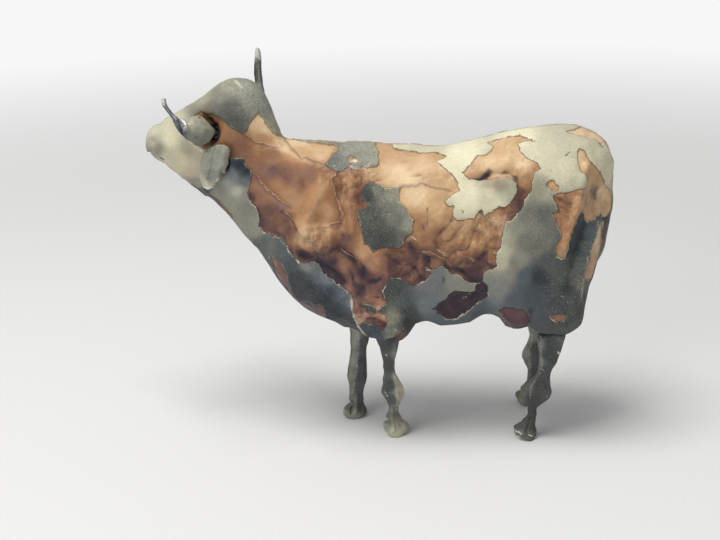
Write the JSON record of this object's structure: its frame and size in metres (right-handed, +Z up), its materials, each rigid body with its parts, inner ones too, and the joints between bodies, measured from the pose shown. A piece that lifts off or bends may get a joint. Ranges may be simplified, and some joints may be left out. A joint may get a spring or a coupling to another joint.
{
  "type": "cow figurine",
  "caption": "Standing cow figurine: fired clay body with its head turned aside, on cast lead legs, with cast lead horns and ears set in holes in the clay.",
  "frame": {"origin": "on the surface the cow stands on, under the middle of its bounding box", "axes": "+Z up; X along the body with the muzzle towards -X; the cow's left flank faces -Y"},
  "size_m": [0.1, 0.0318, 0.08],
  "materials": {
    "painted_clay": "brown fired clay under old grey-green and cream paint that has flaked off in islands, satin to matte",
    "cast_lead": "dull dark grey cast lead with worn paint and bright metal at scratches and edges",
    "plaster": "matte off-white set plaster, hidden in the holes"
  },
  "bodies": {
    "root": {"clay_body": "painted_clay", "left_front_leg": "cast_lead", "right_front_leg": "cast_lead", "left_hind_leg": "cast_lead", "right_hind_leg": "cast_lead", "left_horn": "cast_lead", "right_horn": "cast_lead", "left_ear": "cast_lead", "right_ear": "cast_lead", "left_front_leg_plaster": "plaster", "right_front_leg_plaster": "plaster", "left_hind_leg_plaster": "plaster", "right_hind_leg_plaster": "plaster", "left_horn_plaster": "plaster", "right_horn_plaster": "plaster", "left_ear_plaster": "plaster", "right_ear_plaster": "plaster"}
  },
  "joints": []
}
